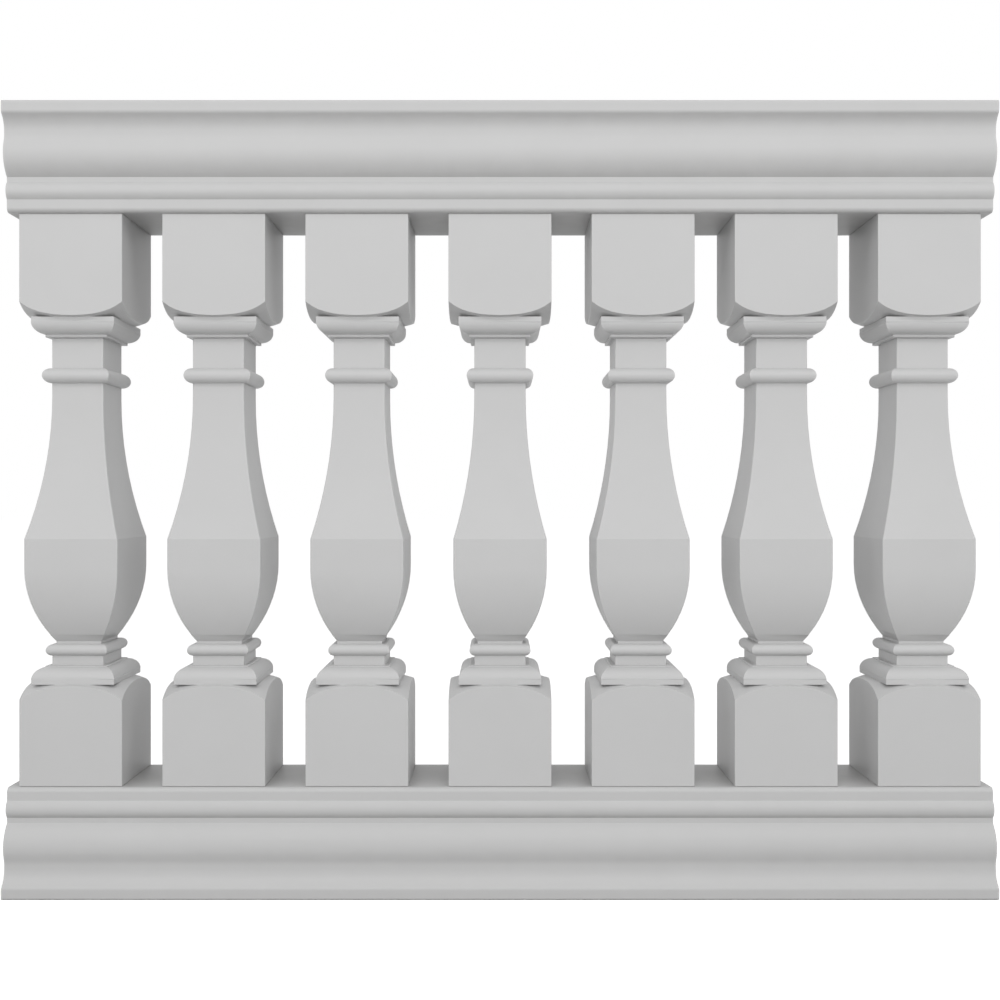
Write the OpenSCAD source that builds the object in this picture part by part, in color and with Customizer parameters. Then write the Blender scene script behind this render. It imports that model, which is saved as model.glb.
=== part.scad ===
// One bay of a moulded fibreglass balustrade: a row of square moulded balusters
// between two hollow moulded rails of the same section, the lower one upside down.
// The row runs along X, the front faces -Y, and Z is up from the underside of the
// bottom rail. All sizes are in millimetres.

/* [Row] */
// Centre to centre of neighbouring balusters
pitch = 177.8; // [145:0.2:230]
// Rail left over past the face of each end baluster
end_reveal = 12.7; // [2:0.2:60]
// Height of a baluster between the two rails
baluster_h = 712; // [580:1:900]

/* [Blocks] */
// Width and depth of the square blocks at a baluster's top and bottom
block_w = 128; // [106:0.2:154]
// Height of an upper block at the middle of its face, down to its turned end
upper_block_h = 127.8; // [60:0.2:170]
// Height of a lower block at the middle of its face, up to its turned end
lower_block_h = 126.1; // [60:0.2:170]
// Inset of the turned end's flat disc from the faces of the block
disc_inset = 12.7; // [8:0.1:16]
// Radius of the rounding that turns the block end
dome_r = 50; // [42:0.1:80]

/* [Vase] */
// Extra depth of the vase over its width, on the front and again on the back
depth_extra = 5.4; // [0:0.1:10]
// Half width of the slender neck
neck_half = 32.4; // [26:0.1:38]
// Height of the straight neck between the neck ring and the long hollow
neck_plain_h = 15.4; // [1:0.1:60]
// Inset of the belly from the faces of the blocks
belly_inset = 6; // [2:0.1:16]
// Height of the belly's upright stretch, under the sharp crease
belly_band_h = 37.5; // [20:0.5:60]
// Height of the belly's rounded underside
belly_under_h = 92.7; // [70:0.1:120]
// Half width of the waist that the underside comes down to
waist_half = 28.3; // [20:0.1:31]
// Height of the waist, from the foot ring up to the belly's underside
waist_h = 3; // [1:0.1:12]

/* [Rings] */
// Inset of the quarter-round next to each block, from the block's faces
ovolo_inset = 12.1; // [8:0.1:16]
// How much higher the quarter-round is than it is wide
ovolo_extra_h = 1.6; // [0.2:0.1:4]
// Height of the quarter-round's upright edge, from the block's disc
ovolo_edge_h = 5.1; // [3:0.1:10]
// How far the quarter-round's edge is let into the turned block end
ovolo_let_in = 1; // [0.5:0.1:2]
// How far the fillet next to each quarter-round stands out from the neck
fillet_out = 6.1; // [3:0.1:9]
// Height of the upper fillet
upper_fillet_h = 3.6; // [2:0.1:10]
// Height of the lower fillet
lower_fillet_h = 1.4; // [1:0.1:6]
// Radius of the half-round ring on the neck
neck_ring_r = 9.5; // [6:0.1:14]
// Distance from the upper fillet down to the neck ring's middle
neck_ring_drop = 47.6; // [20:0.1:70]
// Radius of the ring under the belly
foot_ring_r = 7.4; // [6.2:0.1:10]
// How far that foot ring stands out from the neck
foot_ring_out = 6.1; // [4:0.1:7]
// Height of the foot ring's middle above the lower fillet
foot_ring_up = 19.1; // [12:0.1:30]

/* [Rail] */
// Wall thickness of the rail
rail_wall = 5; // [3:0.1:8]
// Flat deck left over past the face of a block
deck_margin = 0.1; // [0:0.1:20]
// Rounding of the edge next to the balusters
deck_edge_r = 5.9; // [2:0.1:10]
// Height of the plain band from the deck to the bead
deck_band_h = 15.9; // [12:0.1:24]
// Radius of the bead
bead_r = 15; // [10:0.1:20]
// How far the bead stands out from the plain band
bead_out = 4.4; // [2:0.1:8]
// Height of the plain band between the bead and the torus
torus_band_h = 6.4; // [2:0.1:14]
// Radius of the large torus
torus_r = 39; // [30:0.1:50]
// Inset of the torus from the outer band
torus_inset = 6.1; // [4:0.1:8]
// Radius of the hollow above the torus
cove_r = 24; // [18:0.1:30]
// Inset of the hollow from the outer band
cove_inset = 10; // [8.4:0.1:13]
// Height of the hollow's upright stretch
cove_flat_h = 5.2; // [1:0.1:12]
// Rounding between the hollow and the outer band
cove_lip_r = 5.5; // [3:0.1:8]
// How far the outer band stands out from the plain band next to the deck
band_step = 18.5; // [14:0.1:24]
// Height of the outer band
outer_band_h = 12.4; // [8:0.1:24]
// Rounding of the outer edge
outer_edge_r = 3; // [1:0.1:6]

/* [Hidden] */
// Number of balusters, one node each
count = 7;
// Largest turn between neighbouring points of an arc, in degrees
arc_turn = 10;
// Furthest that an arc's flats lie inside the true curve
arc_sag = 0.1;
// Smoothness of a turned block end
turned_fn = 96;

block_half = block_w / 2;
rail_len = (count - 1) * pitch + block_w + 2 * end_reveal;

// Half widths of the rail's mouldings, then their heights above its deck
band_half = block_half + deck_margin + deck_edge_r;
rail_half = band_half + band_step;
torus_half = rail_half - torus_inset;
cove_half = rail_half - cove_inset;
bead_turn = acos(1 - bead_out / bead_r);
bead_mid = deck_band_h + bead_r * sin(bead_turn);
torus_foot_turn = acos(1 - (torus_half - band_half) / torus_r);
torus_mid = bead_mid + bead_r * sin(bead_turn) + torus_band_h + torus_r * sin(torus_foot_turn);
torus_turn = acos(1 - (torus_half - cove_half) / (torus_r + cove_r));
cove_low = torus_mid + (torus_r + cove_r) * sin(torus_turn);
cove_high = cove_low + cove_flat_h;
cove_turn = acos(1 - cove_inset / (cove_r + cove_lip_r));
band_low = cove_high + (cove_r + cove_lip_r) * sin(cove_turn);
rail_h = band_low + outer_band_h;

// Half widths of the baluster's mouldings, then their heights above its middle
disc_r = block_half - disc_inset;
ovolo_half = block_half - ovolo_inset;
belly_half = block_half - belly_inset;
fillet_half = neck_half + fillet_out;
ovolo_h = ovolo_half - fillet_half + ovolo_extra_h;
foot_ring_turn = acos(1 - foot_ring_out / foot_ring_r);
half_h = baluster_h / 2;
upper_disc = half_h - upper_block_h;
upper_ovolo = upper_disc - ovolo_edge_h;
neck_high = upper_ovolo - ovolo_h - upper_fillet_h;
neck_ring_mid = neck_high - neck_ring_drop;
flare_high = neck_ring_mid - neck_ring_r - neck_plain_h;
lower_disc = lower_block_h - half_h;
lower_ovolo = lower_disc + ovolo_edge_h;
foot_high = lower_ovolo + ovolo_h + lower_fillet_h;
foot_ring_mid = foot_high + foot_ring_up;
waist_high = foot_ring_mid + foot_ring_r + waist_h;
belly_low = waist_high + belly_under_h;
crease_mid = belly_low + belly_band_h;

// The quarter-round, the belly and the long hollow each turn upright over their height
ovolo_r = sweep_r(ovolo_h, ovolo_half - fillet_half);
ovolo_turn = asin(ovolo_h / ovolo_r);
belly_r = sweep_r(belly_under_h, belly_half - waist_half);
belly_turn = asin(belly_under_h / belly_r);
flare_r = sweep_r(flare_high - crease_mid, belly_half - neck_half);
flare_turn = asin((flare_high - crease_mid) / flare_r);

silver = [0.80, 0.80, 0.80];

// Radius of an arc that goes up by height and out by reach, upright at one end.
function sweep_r(height, reach) = (height * height + reach * reach) / (2 * reach);

// Points of an arc about centre, from one angle to another. An arc that carries on
// from the one before it starts at 1, so that the point they share is not repeated.
function arc(centre, r, from, to, start = 0) =
    let (
        turn = min(arc_turn, 2 * acos(1 - arc_sag / r)),
        steps = ceil(abs(to - from) / turn)
    )
    [for (i = [start : steps])
        let (a = from + (to - from) * i / steps)
        centre + r * [cos(a), sin(a)]];

// Outline mirrored about the vertical axis, from its right-hand half.
function both_sides(half) =
    concat(half, [for (i = [len(half) - 1 : -1 : 0]) [-half[i].x, half[i].y]]);

// Torus and hollow of a rail, set in from the outside by inset.
function rail_sweep(inset, foot_turn, top_turn) =
    concat(
        arc([torus_half - torus_r, torus_mid], torus_r - inset, -foot_turn, torus_turn),
        arc([cove_half + cove_r, cove_low], cove_r + inset, 180 + torus_turn, 180, 1),
        arc([cove_half + cove_r, cove_high], cove_r + inset, 180, 180 - top_turn)
    );

// Half outline of a rail's outside, from the deck up to the outer face.
function rail_outside() =
    concat(
        arc([band_half - deck_edge_r, deck_edge_r], deck_edge_r, -90, 0),
        arc([band_half + bead_out - bead_r, bead_mid], bead_r, -bead_turn, bead_turn),
        rail_sweep(0, torus_foot_turn, cove_turn),
        arc([rail_half - cove_lip_r, band_low], cove_lip_r, -cove_turn, 0, 1),
        arc([rail_half - outer_edge_r, rail_h - outer_edge_r], outer_edge_r, 0, 90)
    );

// Half outline of a rail's inside, set in by the wall. The bead and the lip are solid.
function rail_inside() =
    concat(
        [[band_half - rail_wall, rail_wall]],
        rail_sweep(
            rail_wall,
            acos(1 - (torus_half - band_half) / (torus_r - rail_wall)),
            acos(1 - cove_inset / (cove_r + rail_wall))
        ),
        [[rail_half - rail_wall, rail_h - rail_wall]]
    );

// Half outline of the vase from its foot to its top, wider by extra.
function vase_half(extra) =
    [for (p = concat(
        [[ovolo_half, lower_disc - ovolo_let_in]],
        arc([ovolo_half - ovolo_r, lower_ovolo], ovolo_r, 0, ovolo_turn),
        [[fillet_half, foot_high], [neck_half, foot_high]],
        arc([neck_half + foot_ring_out - foot_ring_r, foot_ring_mid], foot_ring_r, -foot_ring_turn, 90),
        [[waist_half, foot_ring_mid + foot_ring_r]],
        arc([belly_half - belly_r, belly_low], belly_r, -belly_turn, 0),
        arc([neck_half + flare_r, flare_high], flare_r, 180 + flare_turn, 180),
        arc([neck_half, neck_ring_mid], neck_ring_r, -90, 90),
        [[neck_half, neck_high], [fillet_half, neck_high]],
        arc([ovolo_half - ovolo_r, upper_ovolo], ovolo_r, -ovolo_turn, 0),
        [[ovolo_half, upper_disc + ovolo_let_in]]
    )) [p.x + extra, p.y]];

// Hollow rail along X, its deck at z = 0 and its outer face up.
module rail() {
    rotate([90, 0, 90])
        linear_extrude(rail_len, center = true)
            difference() {
                polygon(both_sides(rail_outside()));
                polygon(both_sides(rail_inside()));
            }
}

module top_rail() {
    color(silver)
        translate([0, 0, rail_h + baluster_h])
            rail();
}

module bottom_rail() {
    color(silver)
        translate([0, 0, rail_h])
            mirror([0, 0, 1])
                rail();
}

// Square-section vase about mid-height, its mouldings mitred at the corners.
module vase() {
    intersection() {
        rotate([90, 0, 0])
            linear_extrude(2 * block_w, center = true)
                polygon(both_sides(vase_half(0)));
        rotate([90, 0, 90])
            linear_extrude(2 * block_w, center = true)
                polygon(both_sides(vase_half(depth_extra)));
    }
}

// Square block from its turned end, at z = 0, up to its seat on a rail.
module block(height) {
    intersection() {
        translate([-block_half, -block_half, 0])
            cube([block_w, block_w, height]);
        rotate_extrude($fn = turned_fn)
            polygon(concat(
                [[0, 0]],
                arc([disc_r, dome_r], dome_r, -90, 0),
                [[disc_r + dome_r, height + dome_r], [0, height + dome_r]]
            ));
    }
}

module baluster(number) {
    color(silver)
        translate([(number - (count + 1) / 2) * pitch, 0, rail_h + half_h])
            union() {
                vase();
                translate([0, 0, upper_disc])
                    block(upper_block_h);
                translate([0, 0, lower_disc])
                    mirror([0, 0, 1])
                        block(lower_block_h);
            }
}

bottom_rail();
top_rail();
baluster(1);  // baluster_1
baluster(2);  // baluster_2
baluster(3);  // baluster_3
baluster(4);  // baluster_4
baluster(5);  // baluster_5
baluster(6);  // baluster_6
baluster(7);  // baluster_7
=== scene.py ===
# %% [markdown]
# # A moulded fiberglass balustrade bay
#
# The real bay is seven square-section balusters standing between two moulded rails.
# Fiberglass is laid by hand into moulds: a coloured skin called gelcoat is sprayed into
# the mould first, and glass mat wetted with resin is rolled on behind it. So every
# outer face is smooth satin gelcoat, and the inside of a hollow rail is bare laminate.
#
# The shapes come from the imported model, in metres, with one object for each rail and
# each baluster. This lesson gives them their edges and finishes, then sets up the
# floor, the lamps and the camera of a plain product shot.

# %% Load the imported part
import math
import bpy
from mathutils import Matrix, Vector


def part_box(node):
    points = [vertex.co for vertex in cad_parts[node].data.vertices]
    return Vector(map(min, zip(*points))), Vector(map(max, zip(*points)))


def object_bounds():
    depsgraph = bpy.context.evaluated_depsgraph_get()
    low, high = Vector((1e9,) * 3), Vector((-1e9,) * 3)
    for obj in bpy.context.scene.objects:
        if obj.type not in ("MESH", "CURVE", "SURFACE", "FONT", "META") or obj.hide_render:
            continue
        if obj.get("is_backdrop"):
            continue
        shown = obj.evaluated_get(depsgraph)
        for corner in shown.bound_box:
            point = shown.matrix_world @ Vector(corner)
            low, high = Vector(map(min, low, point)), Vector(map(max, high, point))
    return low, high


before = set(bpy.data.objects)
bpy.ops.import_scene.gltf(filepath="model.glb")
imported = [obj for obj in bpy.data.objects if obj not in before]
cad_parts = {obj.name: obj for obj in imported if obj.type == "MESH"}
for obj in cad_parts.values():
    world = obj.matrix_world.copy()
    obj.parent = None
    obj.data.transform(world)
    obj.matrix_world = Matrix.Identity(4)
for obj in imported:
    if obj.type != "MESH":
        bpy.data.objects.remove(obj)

MM = 0.001
cad_low, cad_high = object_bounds()
size = cad_high - cad_low
print("bay measures", [round(side / MM, 1) for side in size], "mm")

# %% [markdown]
# ## The camera
#
# The bay is seen square from the front, with the eye at half its height, so that the
# rails stay level and both of them show the same amount of top or underside. A camera
# could also stand far off with a long lens, but then the sides of the outer balusters
# would vanish. Standing about one and a half metres away keeps them in view.

# %% Camera in front of the middle
STAND_OFF = 1509.2 * MM  # from the front of the rails
SENSOR_WIDTH = 36  # millimetres
LENS = 44.46  # millimetres

camera = bpy.data.cameras.new("camera")
camera.sensor_width = SENSOR_WIDTH
camera.lens = LENS
camera_object = bpy.data.objects.new("camera", camera)
camera_object.location = (0, cad_low.y - STAND_OFF, (cad_low.z + cad_high.z) / 2)
camera_object.rotation_euler = (math.radians(90), 0, 0)
bpy.context.scene.collection.objects.link(camera_object)
bpy.context.scene.camera = camera_object
print("camera at", [round(c, 3) for c in camera_object.location])

# %% [markdown]
# ## Helpers for colours and nodes
#
# Colours are easiest to choose as screen values such as #CBCBCB, but Blender mixes
# light in linear numbers, so one function translates them. Materials and geometry
# groups are both trees of nodes, and adding a node always takes the same steps: make
# it, set its options, then fill or connect its inputs. One function does that. Many
# nodes keep hidden sockets for other kinds of number, so it looks only at those in use.

# %% Screen colour to linear colour
def srgb(hex_code):
    """Linear red, green, blue and alpha of a colour written as #RRGGBB."""
    parts = [int(hex_code[i:i + 2], 16) / 255 for i in (1, 3, 5)]
    return [p / 12.92 if p <= 0.04045 else ((p + 0.055) / 1.055) ** 2.4 for p in parts] + [1]


print("mid grey is", round(srgb("#808080")[0], 3), "in linear light")

# %% One node with its settings and links
def in_use(sockets, name=None):
    """The first socket in use, or the one with this name or number."""
    if isinstance(name, int):
        return sockets[name]
    return next(s for s in sockets if s.enabled and name in (None, s.name))


def node(tree, kind, inputs=(), **settings):
    """Adds a node. Each input gets a plain value, a socket, or the first output of a node."""
    made = tree.nodes.new(kind)
    for option, value in settings.items():
        setattr(made, option, value)
    for name, value in dict(inputs).items():
        socket = in_use(made.inputs, name)
        if isinstance(value, bpy.types.Node):
            value = in_use(value.outputs)
        if isinstance(value, bpy.types.NodeSocket):
            tree.links.new(value, socket)
        else:
            socket.default_value = value
    return made


# %% An empty material
def empty_material(name):
    """A new material whose tree holds no nodes yet."""
    material = bpy.data.materials.new(name)
    material.use_nodes = True
    material.node_tree.nodes.clear()
    return material


# %% [markdown]
# ## Curved faces, creases and arrises
#
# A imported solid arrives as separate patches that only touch, and its round mouldings as
# narrow flat strips. On the real piece a moulding is one smooth curve, the mitre where
# two mouldings meet is a crisp crease, and a square corner, or arris, is slightly
# rounded, because a mould with a knife-sharp corner would trap air under the gelcoat.
#
# Smoothing could be marked by hand or baked into the mesh. A geometry node group does it
# without touching the mesh: it joins the patches, shades all faces smooth, and turns
# smoothing off along every edge that bends more than a strip of a curve does. It also
# gives a bevel weight to the long outer corners that turn through about a right angle.
# On the balusters a bevel then rounds just those, and weighted normals keep the large
# flat faces flat. The mitres of the small mouldings stay crisp: they turn less and less
# sharply round each curve, and rounding that stops halfway would bend the shading of
# the whole strip.

# %% An empty geometry group
def empty_group(name):
    """A new geometry node group with one geometry coming in and one going out."""
    group = bpy.data.node_groups.new(name, "GeometryNodeTree")
    for way in ("INPUT", "OUTPUT"):
        group.interface.new_socket("Geometry", in_out=way, socket_type="NodeSocketGeometry")
    return group


# %% Join the patches and find the creases
PATCH_GAP = 0.001 * MM  # patches that touch are no further apart than this
CURVE_TURN = math.radians(12)  # strips of a curve bend less than this, creases more

skin = empty_group("moulded_skin")
patches = node(skin, "NodeGroupInput")
joined = node(skin, "GeometryNodeMergeByDistance", {"Geometry": patches, "Distance": PATCH_GAP})
turn = node(skin, "GeometryNodeInputMeshEdgeAngle")
crease = node(skin, "FunctionNodeCompare",
              {"A": turn.outputs["Unsigned Angle"], "B": CURVE_TURN}, operation="GREATER_THAN")
smooth = node(skin, "GeometryNodeSetShadeSmooth", {"Geometry": joined, "Shade Smooth": True},
              domain="FACE")
creased = node(skin, "GeometryNodeSetShadeSmooth",
               {"Geometry": smooth, "Selection": crease, "Shade Smooth": False}, domain="EDGE")
print("creases turn more than", round(math.degrees(CURVE_TURN)), "degrees")

# %% Mark the long square outer corners
ARRIS_TURN = math.radians(90)
ARRIS_SPREAD = math.radians(15)  # either way
SHORTEST_ARRIS = 5 * MM  # one strip of a small moulding is shorter

square = node(skin, "FunctionNodeCompare",
              {"A": turn.outputs["Signed Angle"], "B": ARRIS_TURN, "Epsilon": ARRIS_SPREAD},
              operation="EQUAL")
ends = node(skin, "GeometryNodeInputMeshEdgeVertices")
length = node(skin, "ShaderNodeVectorMath",
              {0: ends.outputs["Position 1"], 1: ends.outputs["Position 2"]},
              operation="DISTANCE")
long_enough = node(skin, "FunctionNodeCompare",
                   {"A": length.outputs["Value"], "B": SHORTEST_ARRIS},
                   operation="GREATER_THAN")
arris = node(skin, "FunctionNodeBooleanMath", {0: square, 1: long_enough}, operation="AND")
marked = node(skin, "GeometryNodeStoreNamedAttribute",
              {"Geometry": creased, "Name": "bevel_weight_edge", "Value": arris},
              data_type="FLOAT", domain="EDGE")
node(skin, "NodeGroupOutput", {"Geometry": marked})
print("long corners within", round(math.degrees(ARRIS_SPREAD)), "degrees of square are marked")

# %% Round the marked corners
ARRIS_RADIUS = 0.9 * MM
ARRIS_STEPS = 2

rails = [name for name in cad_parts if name.endswith("rail")]
for name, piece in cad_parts.items():
    piece.modifiers.new("moulded_skin", "NODES").node_group = skin
    if name not in rails:  # a rail is square only inside and at its sawn ends
        rounded = piece.modifiers.new("rounded_arrises", "BEVEL")
        rounded.limit_method = "WEIGHT"
        rounded.width = ARRIS_RADIUS
        rounded.segments = ARRIS_STEPS
        rounded.use_clamp_overlap = False
    flat = piece.modifiers.new("flat_faces_stay_flat", "WEIGHTED_NORMAL")
    flat.keep_sharp = True
print("balusters have", ARRIS_RADIUS / MM, "mm arrises,", " and ".join(rails), "stay crisp")

# %% [markdown]
# ## Satin gelcoat
#
# Gelcoat is polyester resin full of pigment, about half a millimetre thick. It copies
# the mould, so it is even and dense, with a satin sheen where the mould was rubbed down
# with fine abrasive. To the eye that means one pale neutral grey, soft highlights and
# no grain. What keeps it from looking like a paint swatch is small: the pigment drifts
# a little, the surface has the faint dimples of a sprayed skin, painted shade darkens
# the sheltered parts of the mouldings, and handling polishes the corners, which are
# also painted lighter as a highlight.
#
# An image texture could hold all this, but it would stretch round the mouldings. Noise
# read at each point's place in space has no seams and keeps its size in millimetres.

# %% Pigment that drifts a little
PIGMENT_DARK = "#CBCBCB"
PIGMENT_LIGHT = "#CFCFCF"
DRIFT_WIDTH = 90 * MM  # across one patch of tone

gelcoat = empty_material("satin_gelcoat")
tree = gelcoat.node_tree
place = node(tree, "ShaderNodeTexCoord").outputs["Object"]
drift = node(tree, "ShaderNodeTexNoise", {"Vector": place, "Scale": 1 / DRIFT_WIDTH, "Detail": 2})
pigment = node(tree, "ShaderNodeMix",
               {"Factor": drift, "A": srgb(PIGMENT_DARK), "B": srgb(PIGMENT_LIGHT)},
               data_type="RGBA")
print("pigment drifts between", PIGMENT_DARK, "and", PIGMENT_LIGHT)

# %% [markdown]
# ### Painted shade under the lips and in the hollows
#
# The colour is painted darker where shade falls: under the lips and in the hollows of
# the mouldings, and on the level deck between two blocks. Vertices could be painted
# there, but the mouldings have few. Two measures find those places instead. The height
# part of the surface direction tells undersides and level tops from the faces that look
# up or outwards. A wide hollow looks down yet is hardly enclosed, so that direction
# counts most. An ambient occlusion node, which tells how much of the space nearby is
# filled, adds to it in the slots.

# %% Where surfaces crowd together
SHADE_REACH = 60 * MM  # the slot between two blocks is 50 mm wide
AO_SAMPLES = 8
SPACE_OPEN = 1.0  # share of the space nearby that is free
SPACE_TIGHT = 0.4

crowding = node(tree, "ShaderNodeAmbientOcclusion", {"Distance": SHADE_REACH},
                samples=AO_SAMPLES)
tight = node(tree, "ShaderNodeMapRange",
             {"Value": crowding.outputs["AO"], "From Min": SPACE_OPEN, "From Max": SPACE_TIGHT})
print("a place counts as tight within", round(SHADE_REACH / MM), "mm of other faces")

# %% Undersides get painted shade even in the open
OPEN_SHARE = 0.5  # of the painted shade in the tightest places
UPFACING_SHARE = 0.25  # share of the painted shade kept on faces that look up or outwards
UPFACING_FROM = 0.1  # height part of the direction: 1 looks straight up, -1 straight down
HANGING_BELOW = -0.6

facing = node(tree, "ShaderNodeNewGeometry").outputs["Normal"]
upwards = node(tree, "ShaderNodeSeparateXYZ", {"Vector": facing}).outputs["Z"]
underside = node(tree, "ShaderNodeMapRange",
                 {"Value": upwards, "From Min": UPFACING_FROM, "From Max": HANGING_BELOW,
                  "To Min": UPFACING_SHARE})
enclosure_shade = node(tree, "ShaderNodeMapRange", {"Value": tight, "To Min": OPEN_SHARE})
hanging = node(tree, "ShaderNodeMath", {0: enclosure_shade, 1: underside}, operation="MULTIPLY")
# Painted shade is full on undersides and lighter on faces that look up or outwards.
print("undersides hold from", OPEN_SHARE, "to 1, rinsed slopes", UPFACING_SHARE, "of that")

# %% Level faces get painted shade only where they are enclosed
NEARLY_LEVEL = 0.95
LEVEL = 0.99

level = node(tree, "ShaderNodeMapRange",
             {"Value": upwards, "From Min": NEARLY_LEVEL, "From Max": LEVEL})
level_shade = node(tree, "ShaderNodeMath", {0: tight, 1: level}, operation="MULTIPLY")
tilted = node(tree, "ShaderNodeMapRange",
              {"Value": upwards, "From Min": LEVEL, "From Max": NEARLY_LEVEL})
sloping = node(tree, "ShaderNodeMath", {0: hanging, 1: tilted}, operation="MULTIPLY")
in_shade = node(tree, "ShaderNodeMath", {0: sloping, 1: level_shade}, operation="MAXIMUM")
# The open top of a rail gets no painted shade, the enclosed deck between two blocks does.
print("an open top is rinsed clean, the deck between two blocks is not")

# %% Painted shade over the pigment
SHADE_COLOUR = "#6E6C68"
SHADE_PATCH = 25 * MM
SHADE_THINNEST = 0.85  # of its full cover
NOISE_LOW = 0.35  # most of a noise pattern lies between these two values
NOISE_HIGH = 0.65
BALUSTER_SHADE = 0.18  # share of the pigment hidden under painted shade in the tightest places

patchy = node(tree, "ShaderNodeTexNoise", {"Vector": place, "Scale": 1 / SHADE_PATCH, "Detail": 3})
thinned = node(tree, "ShaderNodeMapRange",
               {"Value": patchy, "From Min": NOISE_LOW, "From Max": NOISE_HIGH,
                "To Min": SHADE_THINNEST})
remaining = node(tree, "ShaderNodeMath", {0: thinned, 1: in_shade}, operation="MULTIPLY")
painted_shade = node(tree, "ShaderNodeMath", {0: remaining, 1: BALUSTER_SHADE}, operation="MULTIPLY",
             name="painted_shade_cover")
# Painted shade: the pigment is mixed towards a dark grey in these places.
shaded_pigment = node(tree, "ShaderNodeMix", {"Factor": painted_shade, "A": pigment, "B": srgb(SHADE_COLOUR)},
             data_type="RGBA")
print("grime hides up to", BALUSTER_SHADE, "of the pigment")

# %% Corners polished by handling, with a painted highlight
# colour of the painted highlight on the corners
EDGE_HIGHLIGHT = "#D4D4D4"
POLISH_AND_HIGHLIGHT_REACH = 3 * MM
POLISH_AND_HIGHLIGHT_COVER = 0.5  # at the sharpest corners

edge = node(tree, "ShaderNodeAmbientOcclusion", {"Distance": POLISH_AND_HIGHLIGHT_REACH},
            samples=AO_SAMPLES, inside=True, only_local=True)
# The corners get smoother, which is the real polish, and lighter in colour, which is a painted
# highlight.
polish_and_highlight = node(tree, "ShaderNodeMapRange",
              {"Value": edge.outputs["AO"], "From Min": SPACE_OPEN, "From Max": SPACE_TIGHT,
               "To Max": POLISH_AND_HIGHLIGHT_COVER})
gelcoat_colour = node(tree, "ShaderNodeMix", {"Factor": polish_and_highlight, "A": shaded_pigment, "B": srgb(EDGE_HIGHLIGHT)},
                      data_type="RGBA")
print("corners are polished within", round(POLISH_AND_HIGHLIGHT_REACH / MM), "mm")

# %% [markdown]
# ### Sheen and dimples
#
# Polyester resin has an index of refraction close to 1.55. A rubbed mould leaves a
# roughness of about one half, which varies where the abrasive cut more or less. The
# dimples of a sprayed skin, called orange peel, are about 4 mm apart and a few
# hundredths of a millimetre deep: enough to break up a highlight, too little to see as
# shape, so they are a bump in the shading and not geometry.

# %% Sheen, dimples and the finished gelcoat
RESIN_IOR = 1.55
SMOOTHEST = 0.45  # roughness
ROUGHEST = 0.55
POLISH_GAIN = 0.15  # roughness lost where the gelcoat is polished
SHEEN_PATCH = 40 * MM
PEEL_WIDTH = 4 * MM
PEEL_DEPTH = 0.03 * MM

rubbing = node(tree, "ShaderNodeTexNoise", {"Vector": place, "Scale": 1 / SHEEN_PATCH, "Detail": 3})
sheen = node(tree, "ShaderNodeMapRange",
             {"Value": rubbing, "To Min": SMOOTHEST, "To Max": ROUGHEST})
polish = node(tree, "ShaderNodeMath", {0: polish_and_highlight, 1: -POLISH_GAIN, 2: sheen},
              operation="MULTIPLY_ADD")
peel = node(tree, "ShaderNodeTexNoise", {"Vector": place, "Scale": 1 / PEEL_WIDTH, "Detail": 1})
dimples = node(tree, "ShaderNodeBump", {"Height": peel, "Distance": PEEL_DEPTH})
skin_shader = node(tree, "ShaderNodeBsdfPrincipled",
                   {"Base Color": gelcoat_colour, "Roughness": polish, "IOR": RESIN_IOR,
                    "Normal": dimples})
node(tree, "ShaderNodeOutputMaterial", {"Surface": skin_shader})
print("gelcoat uses", len(tree.nodes), "nodes")

# %% [markdown]
# ### The rails get deeper painted shade
#
# The lips and long grooves of the rails get deeper painted shade than the short ones
# of the balusters. It is the same gelcoat out of the same pot, so the rails get a copy
# with one value changed.

# %% A copy with deeper painted shade for the rails
RAIL_SHADE = 0.43

rail_gelcoat = gelcoat.copy()
rail_gelcoat.name = "weathered_gelcoat"
# Painted shade: the rail copy darkens its undersides and hollows more.
rail_gelcoat.node_tree.nodes["painted_shade_cover"].inputs[1].default_value = RAIL_SHADE
print(rail_gelcoat.name, "has", RAIL_SHADE, "and", gelcoat.name, "has", BALUSTER_SHADE)

# %% [markdown]
# ## Bare laminate inside the rails
#
# Behind the gelcoat is chopped strand mat: bundles of glass fibre about 50 mm long,
# lying in all directions, soaked in clear resin. Nobody sees it once the rail is fixed,
# so it is left as it was rolled: yellowish grey, glossy and lumpy, with the bundles
# showing as pale streaks. The sawn ends of a rail show the same laminate.
#
# Drawing each bundle as a curve would take thousands of them. Noise that is squeezed
# to the width of a bundle and stretched to its length gives streaks in one direction,
# and a few layers turned to different directions cross like the mat.

# %% Streaks of glass fibre
BUNDLE_WIDTH = 1.6 * MM  # real bundles are nearer 1 mm, drawn wider so that they show
BUNDLE_LENGTH = 45 * MM
BUNDLE_TURNS = ((0, 0, 0), (50, 0, 35), (-35, 50, -40), (20, -50, 75), (80, 20, -70))  # degrees
STREAK_FADES = 0.55  # noise values where a streak ends and where it is full
STREAK_FULL = 0.68

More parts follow.
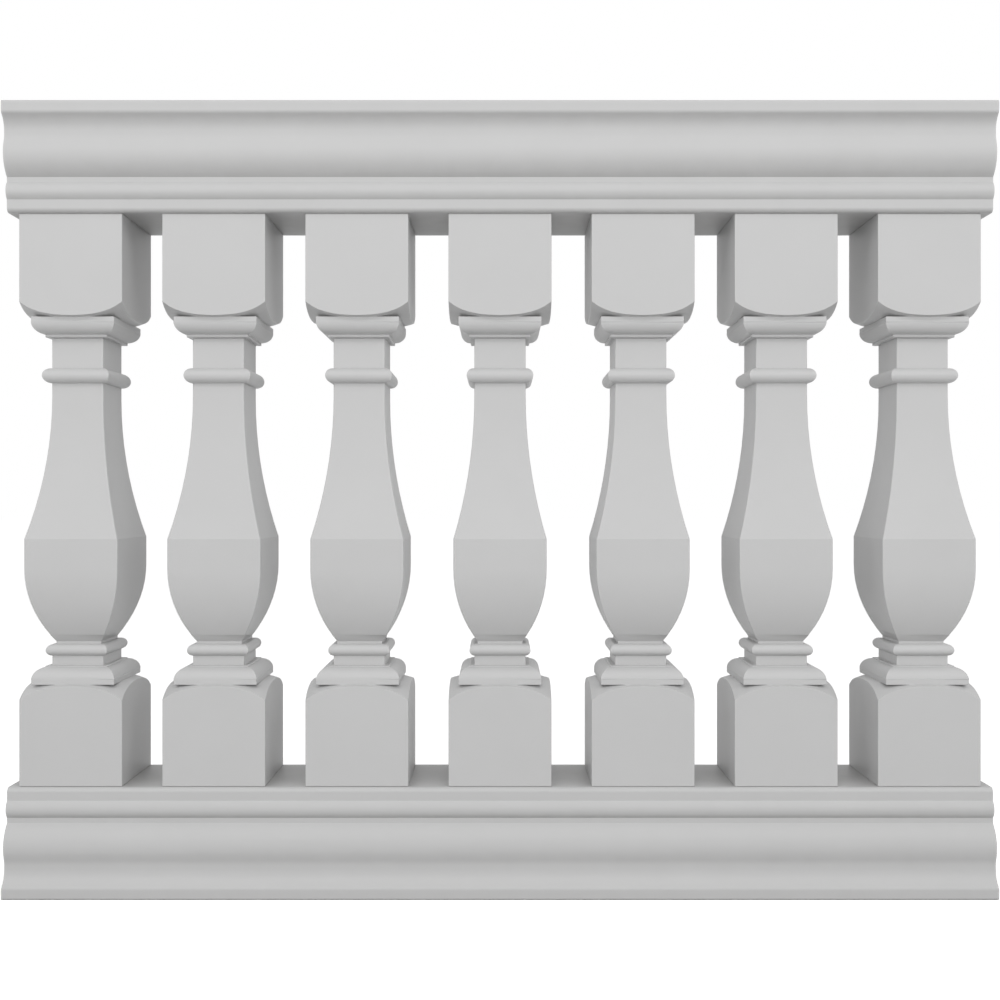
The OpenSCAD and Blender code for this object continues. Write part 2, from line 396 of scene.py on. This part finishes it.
laminate = empty_material("glass_mat_laminate")
tree = laminate.node_tree
place = node(tree, "ShaderNodeTexCoord").outputs["Object"]
squeeze = (1 / BUNDLE_LENGTH, 1 / BUNDLE_WIDTH, 1 / BUNDLE_WIDTH)
strands = None
for turn_degrees in BUNDLE_TURNS:
    turned = node(tree, "ShaderNodeVectorRotate",
                  {"Vector": place, "Rotation": [math.radians(d) for d in turn_degrees]},
                  rotation_type="EULER_XYZ")
    squeezed = node(tree, "ShaderNodeVectorMath", {0: turned, 1: squeeze}, operation="MULTIPLY")
    streaks = node(tree, "ShaderNodeTexNoise", {"Vector": squeezed, "Scale": 1.0, "Detail": 1})
    bundle = node(tree, "ShaderNodeMapRange",
                  {"Value": streaks, "From Min": STREAK_FADES, "From Max": STREAK_FULL})
    strands = bundle if strands is None else node(tree, "ShaderNodeMath", {0: strands, 1: bundle},
                                                  operation="MAXIMUM")
print(len(BUNDLE_TURNS), "layers of bundles")

# %% Resin around the fibres
RESIN_DEEP = "#9B967F"
RESIN_THIN = "#B6B19A"
GLASS = "#CFCBBC"
RESIN_POOL = 35 * MM
LUMP_HEIGHT = 0.4 * MM
BUNDLE_RISE = 0.5  # height of a bundle, as a share of a pool's
RESIN_ROUGHNESS = 0.3
GLASS_ROUGHNESS = 0.55

pools = node(tree, "ShaderNodeTexNoise", {"Vector": place, "Scale": 1 / RESIN_POOL, "Detail": 3})
resin = node(tree, "ShaderNodeMix",
             {"Factor": pools, "A": srgb(RESIN_DEEP), "B": srgb(RESIN_THIN)}, data_type="RGBA")
matted = node(tree, "ShaderNodeMix", {"Factor": strands, "A": resin, "B": srgb(GLASS)},
              data_type="RGBA")
gloss = node(tree, "ShaderNodeMapRange",
             {"Value": strands, "To Min": RESIN_ROUGHNESS, "To Max": GLASS_ROUGHNESS})
lumps = node(tree, "ShaderNodeMath", {0: strands, 1: BUNDLE_RISE, 2: pools},
             operation="MULTIPLY_ADD")
rolled = node(tree, "ShaderNodeBump", {"Height": lumps, "Distance": LUMP_HEIGHT})
mat_shader = node(tree, "ShaderNodeBsdfPrincipled",
                  {"Base Color": matted, "Roughness": gloss, "IOR": RESIN_IOR, "Normal": rolled})
node(tree, "ShaderNodeOutputMaterial", {"Surface": mat_shader})
print("laminate uses", len(tree.nodes), "nodes")

# %% [markdown]
# ## Which face gets which finish
#
# A baluster is closed all round, so it is gelcoat all over. A rail is a tube: its outer
# faces look away from the line down its middle, its inner faces look towards that line,
# and its sawn ends look along it. Faces could be picked by hand, but a geometry node
# group can tell these three apart from each face's place and direction alone, and gives
# the last two the second material of the object.

# %% Tell the inside of a rail from its outside
SAWN_FACING = 0.5  # only a sawn end looks along the rail more than this


def lined_rail(name, middle_height):
    """A group that gives the second material to a rail's inner faces and sawn ends."""
    group = empty_group(name)
    rail = node(group, "NodeGroupInput")
    facing = node(group, "GeometryNodeInputNormal")
    spot = node(group, "GeometryNodeInputPosition")
    from_middle = node(group, "ShaderNodeVectorMath", {0: spot, 1: (0, 0, middle_height)},
                       operation="SUBTRACT")
    across = node(group, "ShaderNodeVectorMath", {0: from_middle, 1: (0, 1, 1)},
                  operation="MULTIPLY")
    outwards = node(group, "ShaderNodeVectorMath", {0: across, 1: facing}, operation="DOT_PRODUCT")
    inner = node(group, "FunctionNodeCompare", {"A": outwards.outputs["Value"], "B": 0.0},
                 operation="LESS_THAN")
    along = node(group, "ShaderNodeSeparateXYZ", {"Vector": facing})
    steep = node(group, "ShaderNodeMath", {0: along.outputs["X"]}, operation="ABSOLUTE")
    sawn = node(group, "FunctionNodeCompare", {"A": steep, "B": SAWN_FACING},
                operation="GREATER_THAN")
    bare = node(group, "FunctionNodeBooleanMath", {0: inner, 1: sawn}, operation="OR")
    lined = node(group, "GeometryNodeSetMaterialIndex",
                 {"Geometry": rail, "Selection": bare, "Material Index": 1})
    node(group, "NodeGroupOutput", {"Geometry": lined})
    return group


# %% Give the pieces their materials
for name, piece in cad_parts.items():
    piece.data.materials.clear()
    piece.data.materials.append(rail_gelcoat if name in rails else gelcoat)
    if name in rails:
        piece.data.materials.append(laminate)
        low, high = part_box(name)
        lining = piece.modifiers.new("lining", "NODES")
        lining.node_group = lined_rail(name + "_lining", (low.z + high.z) / 2)
    print(name, "has", [m.name for m in piece.data.materials])

# %% [markdown]
# ## A white floor that keeps the shadow
#
# A product shot stands on a roll of white paper. Real paper lit well enough to look
# white would throw light up under every moulding and flatten it. So the paper is two
# colours at once: light that bounces from it to the bay sees a pale grey, while a view
# of it, straight or in a reflection, sees paper bright enough to run out to white.

# %% Floor
PAPER = "#C0C0C0"
PAPER_SEEN = 2.3  # brighter than white, so that only the shadow stays below it
FLOOR_SIDE = 60  # metres

bpy.ops.mesh.primitive_plane_add(size=FLOOR_SIDE)
floor = bpy.context.object
floor.name = "studio_floor"
floor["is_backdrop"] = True


def seen_ray(tree):
    """1 for a ray from the camera, a reflection or through glass, and 0 for other light."""
    path = node(tree, "ShaderNodeLightPath")
    direct = node(tree, "ShaderNodeMath",
                  {0: path.outputs["Is Camera Ray"], 1: path.outputs["Is Glossy Ray"]},
                  operation="MAXIMUM")
    return node(tree, "ShaderNodeMath", {0: direct, 1: path.outputs["Is Transmission Ray"]},
                operation="MAXIMUM")


paper = empty_material("white_paper")
tree = paper.node_tree
bounced = node(tree, "ShaderNodeBsdfDiffuse", {"Color": srgb(PAPER)})
viewed = node(tree, "ShaderNodeBsdfDiffuse", {"Color": [PAPER_SEEN] * 3 + [1]})
both = node(tree, "ShaderNodeMixShader", {0: seen_ray(tree), 1: bounced, 2: viewed})
node(tree, "ShaderNodeOutputMaterial", {"Surface": both})
floor.data.materials.append(paper)
print("floor is", FLOOR_SIDE, "m square")

# %% [markdown]
# ## Soft light
#
# The room is an even white that fills the shadows, kept below full strength so that
# the lamps still shape the mouldings. Behind the bay it is seen at full white. The lamps
# are three strips wider than the bay, one above another in front of it. A single
# square lamp would also be soft, but strips this wide light all seven balusters alike,
# and stacking them sets how deep the shadow under each moulding is.

# %% World
WHITE = (1, 1, 1, 1)
ROOM_LIGHT = 0.44
BACKDROP_LIGHT = 1.0  # full white

world = bpy.data.worlds.new("studio_room")
bpy.context.scene.world = world
world.use_nodes = True
tree = world.node_tree
tree.nodes.clear()
room = node(tree, "ShaderNodeBackground", {"Color": WHITE, "Strength": ROOM_LIGHT})
backdrop = node(tree, "ShaderNodeBackground", {"Color": WHITE, "Strength": BACKDROP_LIGHT})
both = node(tree, "ShaderNodeMixShader", {0: seen_ray(tree), 1: room, 2: backdrop})
node(tree, "ShaderNodeOutputWorld", {"Surface": both})
print("room light", ROOM_LIGHT, "and backdrop", BACKDROP_LIGHT)

# %% Strip lamps in front
STRIP_AIM = Vector((0, 0, 0.5))  # metres, close to the middle of the bay
STRIP_DISTANCE = 2.0  # metres from there
STRIP_SIZE = (6.0, 0.5)  # metres wide and high
# Elevation in degrees and power in watts
STRIPS = {"low_strip": (15, 22.7), "middle_strip": (45, 16.7), "high_strip": (60, 3.8)}

for name, (elevation, watts) in STRIPS.items():
    lamp = bpy.data.lights.new(name, "AREA")
    lamp.shape = "RECTANGLE"
    lamp.size, lamp.size_y = STRIP_SIZE
    lamp.energy = watts
    lamp_object = bpy.data.objects.new(name, lamp)
    rise = math.radians(elevation)
    towards_lamp = Vector((0, -math.cos(rise), math.sin(rise)))
    lamp_object.location = STRIP_AIM + STRIP_DISTANCE * towards_lamp
    lamp_object.rotation_euler = (-towards_lamp).to_track_quat("-Z", "Y").to_euler()
    bpy.context.scene.collection.objects.link(lamp_object)
    print(name, "at", elevation, "degrees,", watts, "W")

# %% Plain colours, without a film look
bpy.context.scene.view_settings.view_transform = "Standard"
print("view transform is", bpy.context.scene.view_settings.view_transform)

# %% [markdown]
# ## Size at the end
#
# Finishing should leave the size of the bay as it was, so the size of everything
# visible is printed here, to read against the size printed after loading.

# %% Sizes
low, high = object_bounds()
print("visible size", [round(side / MM, 1) for side in high - low], "mm")
